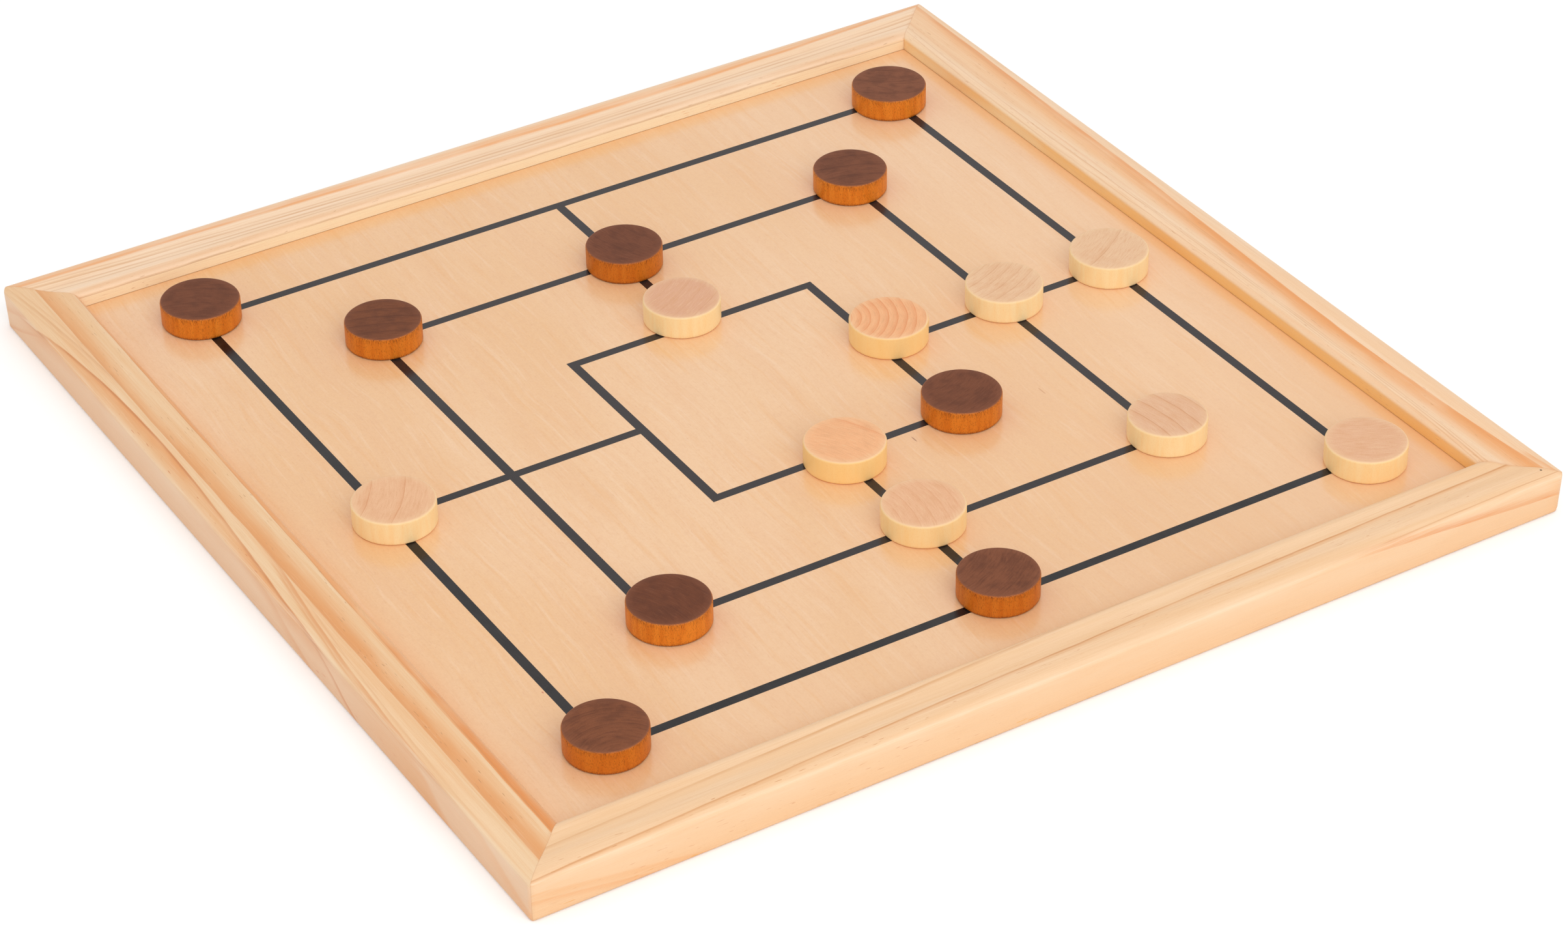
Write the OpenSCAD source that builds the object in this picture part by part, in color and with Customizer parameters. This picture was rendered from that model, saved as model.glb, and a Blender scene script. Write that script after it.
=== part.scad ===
// A nine men's morris board: a plywood playing panel held in the grooves of
// four mitred pine rails, with nine dark and nine light wooden men standing
// on the points of the printed pattern.
//
// Sizes are in millimetres. The origin is the middle of the frame on the
// surface that it lies on, +Z is up, and the front rail is the one at -Y.

/* [Frame] */
// Side of the square frame, from outside to outside
frame_side = 400; // [370:1:500]
// Width of a rail, from its outer side to the tray
rail_w = 21.5; // [19:0.5:26]
// Height of a rail
rail_h = 16; // [14:0.5:19]
// Width of the soft round along a rail's outer top edge
outer_round_w = 6.5; // [2:0.5:8]
// Height of the soft round along a rail's outer top edge
outer_round_h = 2.2; // [0.5:0.1:3]
// Width of the round along a rail's inner top edge
inner_round_w = 3.4; // [0.5:0.1:5]
// Height of the round along a rail's inner top edge
inner_round_h = 2; // [0.5:0.1:3]
// Flat land between the outer round and the shallow cove
outer_land = 1; // [0.2:0.1:3]
// Flat land between the cove and the inner round
inner_land = 0.3; // [0.2:0.1:2]
// Depth of the cove, which takes up the rest of the rail's top
cove_depth = 0.5; // [0.2:0.1:1]
// Radius that the rails' undersides are eased to
foot_round = 1.2; // [0.3:0.1:1.5]
// Radius that the frame's four corners are sanded to
corner_round = 1.6; // [0.5:0.1:3]

/* [Panel] */
// Height of the rails above the playing surface, the depth of the tray
tray_depth = 6.2; // [4:0.1:7]
// Thickness of the plywood panel
panel_t = 3; // [2.5:0.1:4]
// Depth of the groove that holds the panel's edge
groove_depth = 6; // [3:0.5:7]
// Play above the panel in its groove
groove_play = 0.1; // [0.05:0.05:0.3]
// Gap past the panel's edge, where the wood may swell
swell_gap = 0.5; // [0.2:0.1:1]

/* [Printed pattern] */
// Distance from the rails to the middle of the outer square's lines
edge_margin = 30; // [25:0.25:36]
// Distance between the outer and the middle square's lines
outer_step = 47.75; // [42:0.25:52]
// Distance between the middle and the inner square's lines
inner_step = 51.5; // [44:0.25:56]
// Width of the printed lines
line_w = 3.6; // [2:0.1:5]
// How deep the ink has soaked into the veneer
ink_depth = 0.2; // [0.1:0.05:0.4]
// How far the print sits off the frame's middle, towards the right rail
print_shift_x = 3.2; // [-5:0.1:5]
// How far the print sits off the frame's middle, towards the back rail
print_shift_y = -1.1; // [-5:0.1:5]

/* [Men] */
// Diameter of a man
man_d = 28.8; // [24:0.2:32]
// Height of a man
man_h = 9; // [7:0.5:12]
// Radius that a man's two edges are rubbed to
man_round = 0.8; // [0.2:0.1:1.5]

/* [Mitre wedges] */
// Length of each leg of a V-shaped steel wedge
wedge_leg = 7; // [5:0.5:8]
// Thickness of the wedge's strip
wedge_t = 0.6; // [0.4:0.1:1]
// Height of the wedge
wedge_h = 7; // [4:0.5:8]
// Angle between a wedge's leg and the mitre
wedge_angle = 55; // [45:1:65]
// Wood left between the wedge's point and the panel's groove
wedge_cover = 4; // [3:0.5:5]
// How far the wedge is driven below the wood
wedge_sink = 0.3; // [0.1:0.1:0.5]

/* [Hidden] */
MEN = 9;

// Levels that the pieces share
play_z = rail_h - tray_depth;
panel_z = play_z - panel_t;
half = frame_side / 2;

// Wood that is left outside the grooves, which hold the panel's edges
groove_wall = rail_w - groove_depth;
panel_side = frame_side - 2 * (groove_wall + swell_gap);
wedge_inset = groove_wall - wedge_cover;

// Half sides of the three squares, from the inner one out
outer_ring = half - rail_w - edge_margin;
middle_ring = outer_ring - outer_step;
rings = [middle_ring - inner_step, middle_ring, outer_ring];

// Where each man stands: which square (0 inner, 1 middle, 2 outer), the steps
// to the right and to the back of its middle, and how far off the point
// the player's hand left it
dark_spots = [
    [2, 1, 1, -2, -2.5], [1, 1, 1, -1.5, -1], [1, 0, 1, 0, -2.5],
    [2, -1, 1, 1, 0], [1, -1, 1, 2.5, -0.5], [0, 1, -1, 0.5, -1.5],
    [1, -1, -1, 3, -0.5], [2, 0, -1, 0.5, 2], [2, -1, -1, 0.5, 0.5]
];
light_spots = [
    [0, 0, 1, -1, 5.5], [0, 1, 0, 5, 3], [1, 1, 0, 1.5, 0.5],
    [2, 1, 0, -1, -1], [1, 1, -1, 0.5, -0.5], [2, 1, -1, 0.5, -2],
    [0, 0, -1, -0.5, -5], [1, 0, -1, 1.5, 0.5], [2, -1, 0, 1.5, -2.5]
];

pine = [0.95, 0.81, 0.64];
pine_side = [0.93, 0.77, 0.57];
veneer = [0.93, 0.79, 0.6];
ink = [0.23, 0.24, 0.26];
steel = [0.62, 0.63, 0.65];
dark_wood = [0.5, 0.29, 0.2];
light_wood = [0.94, 0.8, 0.62];

// Points on an ellipse's arc round c, from angle a0 to a1 in n steps
function arc(c, rx, ry, a0, a1, n) = [
    for (i = [0:n]) let (a = a0 + (a1 - a0) * i / n)
        [c[0] + rx * cos(a), c[1] + ry * sin(a)]
];

// The cove is a shallow arc that is cut across its width to its depth
cove_start = outer_round_w + outer_land;
cove_w = rail_w - cove_start - inner_land - inner_round_w;
cove_r = (cove_w * cove_w / 4 + cove_depth * cove_depth) / (2 * cove_depth);
cove_half_angle = asin(cove_w / 2 / cove_r);

// Cross-section of the moulding: x runs from the outer side to the tray
moulding = concat(
    arc([foot_round, foot_round], foot_round, foot_round, 180, 270, 4),
    arc([rail_w - foot_round / 2, foot_round / 2], foot_round / 2, foot_round / 2, 270, 360, 3),
    [[rail_w, panel_z],
     [groove_wall, panel_z],
     [groove_wall, play_z + groove_play],
     [rail_w, play_z + groove_play]],
    arc([rail_w - inner_round_w, rail_h - inner_round_h], inner_round_w, inner_round_h, 0, 90, 6),
    arc([cove_start + cove_w / 2, rail_h - cove_depth + cove_r], cove_r, cove_r,
        270 + cove_half_angle, 270 - cove_half_angle, 8),
    arc([outer_round_w, rail_h - outer_round_h], outer_round_w, outer_round_h, 90, 180, 8)
);

// Outline of the front rail seen from above: mitred at both ends, with the
// frame's corners sanded round up to the mitres
rail_plan = concat(
    [[-half + rail_w, -half + rail_w]],
    arc([-half + corner_round, -half + corner_round], corner_round, corner_round, 225, 270, 4),
    arc([half - corner_round, -half + corner_round], corner_round, corner_round, 270, 315, 4),
    [[half - rail_w, -half + rail_w]]
);

// V outline with its point on +X and its legs behind it
function wedge_outline(a, leg, h) = [
    [h / sin(a), 0],
    [-leg * cos(a) + h * sin(a), leg * sin(a) + h * cos(a)],
    [-leg * cos(a) - h * sin(a), leg * sin(a) - h * cos(a)],
    [-h / sin(a), 0],
    [-leg * cos(a) - h * sin(a), -leg * sin(a) + h * cos(a)],
    [-leg * cos(a) + h * sin(a), -leg * sin(a) - h * cos(a)]
];

// The four steel wedges, one across each mitre, pointing at the tray
module wedges(low, high) {
    for (turn = [0:90:270])
        rotate([0, 0, turn])
            translate([-half + wedge_inset, -half + wedge_inset, low])
                rotate([0, 0, 45])
                    linear_extrude(height = high - low)
                        polygon(wedge_outline(wedge_angle, wedge_leg, wedge_t / 2));
}

// One rail of the frame, turned from the front to its own side
module rail(turn, wood) {
    color(wood)
        rotate([0, 0, turn])
            difference() {
                intersection() {
                    translate([-half, -half, 0])
                        rotate([90, 0, 90])
                            linear_extrude(height = frame_side)
                                polygon(moulding);
                    linear_extrude(height = rail_h)
                        polygon(rail_plan);
                }
                wedges(-1, wedge_sink + wedge_h);
            }
}

module rail_front() { rail(0, pine); }
module rail_right() { rail(90, pine_side); }
module rail_back() { rail(180, pine); }
module rail_left() { rail(270, pine_side); }

// Flat pattern: three squares, joined by a line at the middle of each side
module pattern() {
    translate([print_shift_x, print_shift_y]) {
        for (r = rings)
            difference() {
                square(2 * r + line_w, center = true);
                square(2 * r - line_w, center = true);
            }
        for (turn = [0:90:270])
            rotate(turn)
                translate([rings[0], -line_w / 2])
                    square([rings[2] - rings[0], line_w]);
    }
}

module playing_panel() {
    color(veneer)
        difference() {
            translate([-panel_side / 2, -panel_side / 2, panel_z])
                cube([panel_side, panel_side, panel_t]);
            translate([0, 0, play_z - ink_depth])
                linear_extrude(height = 2 * ink_depth)
                    pattern();
        }
}

// The ink fills the top of the veneer and lies flush with it
module printed_lines() {
    color(ink)
        translate([0, 0, play_z - ink_depth])
            linear_extrude(height = ink_depth)
                pattern();
}

module mitre_wedges() {
    color(steel)
        wedges(wedge_sink, wedge_sink + wedge_h);
}

// Half section of a man: a turned disc with both edges rubbed round
man_section = concat(
    [[0, 0]],
    arc([man_d / 2 - man_round, man_round], man_round, man_round, 270, 360, 4),
    arc([man_d / 2 - man_round, man_h - man_round], man_round, man_round, 0, 90, 4),
    [[0, man_h]]
);

module man(spot, wood) {
    color(wood)
        translate([
            print_shift_x + rings[spot[0]] * spot[1] + spot[3],
            print_shift_y + rings[spot[0]] * spot[2] + spot[4],
            play_z
        ])
            rotate_extrude($fn = 96)
                polygon(man_section);
}

rail_front();
rail_right();
rail_back();
rail_left();
playing_panel();
printed_lines();
mitre_wedges();
for (i = [1:MEN])
    man(dark_spots[i - 1], dark_wood);
for (i = [1:MEN])
    man(light_spots[i - 1], light_wood);
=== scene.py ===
# %% [markdown]
# # A wooden nine men's morris board, dressed piece by piece
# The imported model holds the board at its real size: four mitred rails, a thin
# plywood panel with the printed pattern, and eighteen round men. This lesson
# loads it as a fixed frame, puts finer surfaces over the rails and the men, and
# gives every piece a wood, ink or steel finish. Nothing is fitted by hand,
# because the finer surfaces are worked out in the same frame as the solids.

# %% Load the fixed frame and keep its box
import bpy
import numpy as np
from mathutils import Matrix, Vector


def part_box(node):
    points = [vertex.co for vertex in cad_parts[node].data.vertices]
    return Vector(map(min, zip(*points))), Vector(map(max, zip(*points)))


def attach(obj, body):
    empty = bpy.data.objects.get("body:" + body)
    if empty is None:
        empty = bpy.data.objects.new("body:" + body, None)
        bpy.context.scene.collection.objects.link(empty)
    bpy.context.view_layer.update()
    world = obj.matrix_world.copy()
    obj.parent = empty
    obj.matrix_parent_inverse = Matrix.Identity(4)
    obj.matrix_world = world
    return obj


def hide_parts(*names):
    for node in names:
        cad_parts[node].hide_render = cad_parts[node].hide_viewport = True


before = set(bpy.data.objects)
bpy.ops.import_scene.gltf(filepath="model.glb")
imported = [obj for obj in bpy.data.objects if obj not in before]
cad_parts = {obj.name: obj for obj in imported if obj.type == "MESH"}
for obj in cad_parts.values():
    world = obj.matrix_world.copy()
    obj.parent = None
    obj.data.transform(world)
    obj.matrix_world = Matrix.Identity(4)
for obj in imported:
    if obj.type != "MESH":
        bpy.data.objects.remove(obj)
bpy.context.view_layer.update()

# %% [markdown]
# ## The camera
# The photograph looks down on the board from in front of its left half. Where a
# camera stands can be worked out from straight lines of known size in its
# picture, here the printed squares and the frame's corners. The result is a
# place and three directions: right, up and back from the picture.

# %% Set the camera
def posed(right, up, back, place):
    """The matrix of a thing that looks away from back: three directions, then its place."""
    matrix = np.eye(4)
    matrix[:3] = np.stack([right, up, back, place], 1)
    return Matrix(matrix.tolist())


camera_place = (-0.636414, -1.073545, 0.830673)
camera_right = (0.851232, -0.524617, -0.013446)
camera_up = (0.305408, 0.474387, 0.825641)
camera_back = (-0.426767, -0.706919, 0.564035)
camera = bpy.data.objects.new("camera", bpy.data.cameras.new("camera"))
camera.data.lens, camera.data.sensor_width = 97.456, 36.0
camera.data.clip_start, camera.data.clip_end = 0.05, 50.0
camera.matrix_world = posed(camera_right, camera_up, camera_back, camera_place)
bpy.context.scene.collection.objects.link(camera)
bpy.context.scene.camera = camera
distance = round(float(np.linalg.norm(camera_place)), 3)
print("camera stands", distance, "m from the board's middle")

# %% [markdown]
# ## Writing a finish as sums
# A material is a web of small nodes. Joining each by hand is slow to read, so a
# small class wraps one socket and lets it be added, multiplied or raised like a
# number. A second class holds the material, and its one method makes any other
# node: first the settings, then what goes into its sockets. Colours are written
# as a picture's numbers, 0 to 255, and turned into light as they go in.

# %% Wires and finishes
class Wire:
    """One output of a node. Sums on wires add Math nodes to the same material."""

    def __init__(self, finish, socket):
        self.finish, self.socket = finish, socket

    def __add__(self, other): return self.finish.math("ADD", self, other)
    def __radd__(self, other): return self.finish.math("ADD", other, self)
    def __sub__(self, other): return self.finish.math("SUBTRACT", self, other)
    def __rsub__(self, other): return self.finish.math("SUBTRACT", other, self)
    def __mul__(self, other): return self.finish.math("MULTIPLY", self, other)
    def __rmul__(self, other): return self.finish.math("MULTIPLY", other, self)
    def __truediv__(self, other): return self.finish.math("DIVIDE", self, other)
    def __rtruediv__(self, other): return self.finish.math("DIVIDE", other, self)
    def __pow__(self, other): return self.finish.math("POWER", self, other)
    def __rpow__(self, other): return self.finish.math("POWER", other, self)
    def __abs__(self): return self.finish.math("ABSOLUTE", self)


class Finish:
    """A material whose nodes are made by plain calls.

    A colour is a wire, or the three numbers 0 to 255 that a picture has.
    """

    def __init__(self, name):
        self.material = bpy.data.materials.new(name)
        self.material.use_nodes = True
        self.tree = self.material.node_tree
        self.tree.nodes.clear()

    def node(self, kind, settings, sockets, out=0):
        """A new node: first its settings, then its sockets. Returns the wire from output out."""
        made = self.tree.nodes.new(kind)
        for name, value in settings.items():
            setattr(made, name, value)
        for name, value in sockets.items():
            if isinstance(value, Wire):
                self.tree.links.new(value.socket, made.inputs[name])
            else:
                made.inputs[name].default_value = value
        return Wire(self, made.outputs[out]) if made.outputs else None

    def math(self, operation, *values):
        """One sum on numbers or wires."""
        return self.node("ShaderNodeMath", {"operation": operation}, dict(enumerate(values)))

    def vector(self, name):
        """The three numbers that each point of the mesh keeps under a name."""
        return self.node("ShaderNodeAttribute", {"attribute_name": name}, {}, out=1)

    def number(self, name):
        """The one number that each point of the mesh keeps under a name."""
        return self.node("ShaderNodeAttribute", {"attribute_name": name}, {}, out=2)

    def place_mm(self):
        """The point's place on the board, in millimetres."""
        return self.stretched(self.node("ShaderNodeTexCoord", {}, {}, out=3), (1000, 1000, 1000))

    def stretched(self, where, factors):
        """The vector where, multiplied along each of its three directions."""
        return self.node("ShaderNodeVectorMath", {"operation": "MULTIPLY"}, {0: where, 1: factors})

    def parts(self, where):
        """The three numbers of a vector, as wires."""
        first = self.node("ShaderNodeSeparateXYZ", {}, {0: where})
        return [Wire(self, first.socket.node.outputs[i]) for i in range(3)]

    def joined(self, x, y, z):
        """A vector from three numbers or wires."""
        return self.node("ShaderNodeCombineXYZ", {}, {0: x, 1: y, 2: z})

    def clouds(self, where, finer, detail=2.0, roughness=0.5):
        """Soft noise from about 0.25 to 0.75, with finer features to a unit in each direction."""
        return self.node("ShaderNodeTexNoise", {}, {
            "Vector": self.stretched(where, finer), "Scale": 1.0,
            "Detail": detail, "Roughness": roughness})

    def fade(self, value, low, high):
        """0 below low, 1 above high, an S curve between; low above high turns it round."""
        return self.node("ShaderNodeMapRange", {"interpolation_type": "SMOOTHSTEP"}, {
            "Value": value, "From Min": low, "From Max": high})

    def blend(self, share, first, second, how="MIX"):
        """The first colour where share is 0 and the second where it is 1."""
        first, second = (c if isinstance(c, Wire) else paint(c) for c in (first, second))
        return self.node("ShaderNodeMix", {"data_type": "RGBA", "blend_type": how}, {
            0: share, 6: first, 7: second}, out=2)

    def layers(self, colour, rows):
        """Each row is a share and a colour, laid over the rows before it."""
        for share, shade in rows:
            colour = self.blend(share, colour, shade)
        return colour

    def surface(self, colour, roughness, relief, bump, reach, **plain):
        """Ends the material in one shader. A Bump node turns the relief into slopes."""
        normal = self.node("ShaderNodeBump", {}, {
            "Strength": bump, "Distance": reach, "Height": relief})
        sockets = {"Base Color": colour, "Roughness": roughness, "Normal": normal}
        sockets.update({name.replace("_", " "): value for name, value in plain.items()})
        return self.end(self.node("ShaderNodeBsdfPrincipled", {}, sockets))

    def end(self, shader):
        """Joins a shader to the material's output."""
        self.node("ShaderNodeOutputMaterial", {}, {"Surface": shader})
        return self.material


def paint(numbers):
    """Picture numbers, 0 to 255, as the light that the renderer adds up.

    The curve is the one of ordinary pictures: a straight foot, then a power.
    """
    share = np.array(numbers) / 255.0
    light = np.where(share <= 0.04045, share / 12.92, ((share + 0.055) / 1.055) ** 2.4)
    return (*light.tolist(), 1.0)


print("cream pine as light:", paint((245, 208, 165)))

# %% [markdown]
# ## Putting a surface into the scene
# A surface here is a grid of points: one parameter runs along it, the other
# round it. The faces follow from the grid's size alone, so they are worked out
# as whole arrays. A measured volume above zero says that the faces look outwards.

# %% Grids to meshes
def band_faces(rows, columns):
    """Four-sided faces of a grid whose columns close into a loop.

    Each face joins a point, its neighbour in the loop and the same two in the
    next row.
    """
    first = np.arange(rows - 1)[:, None] * columns
    here, beside = np.arange(columns), (np.arange(columns) + 1) % columns
    corners = [first + here, first + beside, first + columns + beside, first + columns + here]
    return np.stack(corners, -1).reshape(-1, 4)


def volume_of(points, faces):
    """Space inside a closed surface.

    It is a sixth of the sum, over fans of triangles, of each triangle's box
    product.
    """
    total = 0.0
    for size in sorted({len(f) for f in faces}):
        first, *others = np.moveaxis(points[np.array([f for f in faces if len(f) == size])], 1, 0)
        for here, beside in zip(others, others[1:]):
            total += np.einsum("ij,ij->i", first, np.cross(here, beside)).sum() / 6
    return float(total)


def outward(points, faces):
    """The faces, all turned round if the volume is below zero, and the volume."""
    volume = volume_of(points, faces)
    if volume < 0:
        faces, volume = [face[::-1] for face in faces], -volume
    return faces, volume


def put(name, points, faces, material, node, slot, body, notes, sharp=30):
    """Makes a piece from points in metres, with its notes as attributes, for a CAD node."""
    mesh = bpy.data.meshes.new(name)
    mesh.from_pydata(points.tolist(), [], faces)
    for label, values in notes.items():
        vector = values.ndim == 2
        kept = mesh.attributes.new(label, "FLOAT_VECTOR" if vector else "FLOAT", "POINT")
        kept.data.foreach_set("vector" if vector else "value", values.astype(np.float32).ravel())
    mesh.polygons.foreach_set("use_smooth", np.ones(len(mesh.polygons), bool))
    mesh.set_sharp_from_angle(angle=float(np.radians(sharp)))
    mesh.materials.append(material)
    made = bpy.data.objects.new(name, mesh)
    bpy.context.scene.collection.objects.link(made)
    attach(made, body)
    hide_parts(node)


def mm(values):
    """Millimetres as metres."""
    return np.asarray(values, float) / 1000.0


def bell(value, middle, width):
    """1 at the middle, and e to the minus square of the distance in widths elsewhere."""
    return np.exp(-((value - middle) / width) ** 2)


print("faces of a small grid:", len(band_faces(4, 6)))

# %% [markdown]
# ## The rails
# Each rail is a strip of pine, run through a moulding cutter and sawn at 45
# degrees at both ends. The cutter's shape is a profile: up the outer side, over
# a soft round, across a shallow cove, over a second round and down to the
# groove that holds the panel. Carried along the rail it gives the whole
# surface, which is exactly how the machine makes it.

# %% The cutter's profile
# In mm: half the frame, a rail's width and height, and how deep the tray is.
HALF, RAIL_W, RAIL_H, TRAY = 200.0, 21.5, 16.0, 6.2
# The panel's thickness, and the groove's depth and its play above the panel.
PANEL_T, GROOVE, GROOVE_PLAY = 3.0, 6.0, 0.1
PANEL_TOP = RAIL_H - TRAY
# Each round's width and height, the flats beside the cove, and its depth.
OUTER_ROUND, INNER_ROUND = (6.5, 2.2), (3.4, 2.0)
OUTER_LAND, INNER_LAND, COVE = 1.0, 0.3, 0.5
# The eased edges under the rail, and how far a mitre's edge draws in.
FOOT, INNER_FOOT, EASE = 1.2, 0.6, 0.05


def bow(middle, radii, start, stop, steps):
    """Points on an ellipse: the middle plus the radii times cosine and sine of even angles."""
    angle = np.radians(np.linspace(start, stop, steps))
    return np.stack([np.cos(angle), np.sin(angle)], 1) * radii + middle


def moulding_profile():
    """Depth from the outer side and height, in mm, once round the section against the clock.

    The cove is a parabola: its depth times one less the square of the place
    across it, which runs from -1 to 1.
    """
    cove_start, cove_end = OUTER_ROUND[0] + OUTER_LAND, RAIL_W - INNER_ROUND[0] - INNER_LAND
    across = np.linspace(1, -1, 13)
    cove_depth = cove_start + (across + 1) / 2 * (cove_end - cove_start)
    inside = RAIL_W - GROOVE
    return np.concatenate([
        bow((FOOT, FOOT), (FOOT, FOOT), 180, 270, 7),
        bow((RAIL_W - INNER_FOOT, INNER_FOOT), (INNER_FOOT, INNER_FOOT), 270, 360, 5),
        [[RAIL_W, PANEL_TOP - PANEL_T], [inside, PANEL_TOP - PANEL_T]],
        [[inside, PANEL_TOP + GROOVE_PLAY], [RAIL_W, PANEL_TOP + GROOVE_PLAY]],
        bow((RAIL_W - INNER_ROUND[0], RAIL_H - INNER_ROUND[1]), INNER_ROUND, 0, 90, 13),
        np.stack([cove_depth, RAIL_H - COVE * (1 - across**2)], 1),
        bow((OUTER_ROUND[0], RAIL_H - OUTER_ROUND[1]), OUTER_ROUND, 90, 180, 17),
    ])


profile = moulding_profile()
print("points round the moulding:", len(profile))

# %% [markdown]
# A mitre is never quite closed: the saw leaves a hair of an eased edge on both
# rails. So the last row of points at each end draws in by a twentieth of a
# millimetre, which makes a fine V along the joint. Each outer corner is sanded
# round by hand, one more than the other, and there the points follow the
# corner's circle instead of the side.

# %% One rail along its path
# Rows stand close together near a mitre, at these distances from it in mm.
ROWS_AT_END = np.array([0, 0.2, 0.45, 0.8, 1.2, 1.6, 2.1, 2.7, 3.4, 4.2, 5.2, 6.4])
ROWS_BETWEEN = np.linspace(-0.94, 0.94, 39)
# A corner's round is smallest at this height, and is wider by FLARE a span away.
FLARE, FLARE_MIDDLE, FLARE_SPAN = 0.8, 9.0, 8.0


def rail_surface(turn, rounds):
    """Points of a rail in metres, and for each its run, depth and height in mm.

    A point at depth d runs from one mitre to the other, so it lies at u times
    (half the frame less d), with u from -1 to 1. Past the start of the corner's
    circle it is held to the circle: its y is the larger of its own and the
    circle's. The two rounds are the circles' radii at the left and right end,
    where they are smallest. They grow with the square of the distance above or
    below that height.
    """
    tangent = np.roll(profile, -1, 0) - np.roll(profile, 1, 0)
    outward_way = np.stack([tangent[:, 1], -tangent[:, 0]], 1)
    outward_way /= np.linalg.norm(outward_way, axis=1)[:, None]
    run = np.concatenate([ROWS_AT_END / HALF - 1, ROWS_BETWEEN, (1 - ROWS_AT_END / HALF)[::-1]])
    draw = np.zeros(len(run))
    draw[[0, -1]] = EASE
    section = profile - draw[:, None, None] * outward_way
    depth, height = section[..., 0], section[..., 1]
    flare = 1 + FLARE * ((height - FLARE_MIDDLE) / FLARE_SPAN) ** 2
    corner = np.where(run < 0, *rounds)[:, None] * flare
    x = run[:, None] * (HALF - np.maximum(depth, corner * (1 - np.sqrt(0.5))))
    beyond = np.clip(np.abs(x) - (HALF - corner), 0, corner)
    circle = -(HALF - corner) - np.sqrt(corner**2 - beyond**2)
    y = np.maximum(depth - HALF, circle)
    cosine, sine = np.cos(np.radians(turn)), np.sin(np.radians(turn))
    points = np.stack([x * cosine - y * sine, x * sine + y * cosine, height], -1)
    wood = np.stack([x, y + HALF, height], -1)
    return mm(points.reshape(-1, 3)), wood.reshape(-1, 3), len(run)


# Each rail's turn in degrees, and the rounds of the corners at its left and right end.
front_left, front_right, back_right, back_left = 1.3, 2.8, 2.6, 3.3
rails = {
    "rail_front": (0, (front_left, front_right)), "rail_right": (90, (front_right, back_right)),
    "rail_back": (180, (back_right, back_left)), "rail_left": (270, (back_left, front_left)),
}
print("points on a rail:", len(rail_surface(0, (2.0, 2.0))[0]))

# %% [markdown]
# ## Pine, varnished
# Pine grows a pale, wide band each spring and a thin, orange one each autumn.
# A rail is sawn along the trunk, so the autumn lines run along it and drift
# slowly over its moulding. Real lines are soft on the spring side and stop
# sharply on the winter side. So each line here is a course, a curve of depth
# against length, with a soft width on one side and a crisp one on the other.
# The number that measures depth, girth, also runs on down the outer side, below
# zero, and down the tray wall, above the rail's width.

# %% The parts of the pine
def course(t, numbers):
    """A polynomial of t, highest power first, as nested sums: ((a t + b) t + c) and so on."""
    value = numbers[0]
    for number in numbers[1:]:
        value = t * value + number
    return value


def grown(f, off, outer, inner):
    """1 on a line, fading over outer mm to the rail's outer side and over inner to the tray."""
    return f.fade(off, -outer, 0.0) * f.fade(off, inner, 0.0)


def within(f, value, low, high, soft):
    """1 between low and high, with ends soft mm long."""
    half = soft / 2
    return f.fade(value, low - half, low + half) * f.fade(value, high + half, high - half)


def apart(x, y):
    """The distance to a point that is x away one way and y the other."""
    return (x * x + y * y) ** 0.5


print("a course at 0.5:", course(0.5, (2.0, 1.0, 3.0)), "and 3 and 4 are apart by", apart(3, 4))

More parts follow.
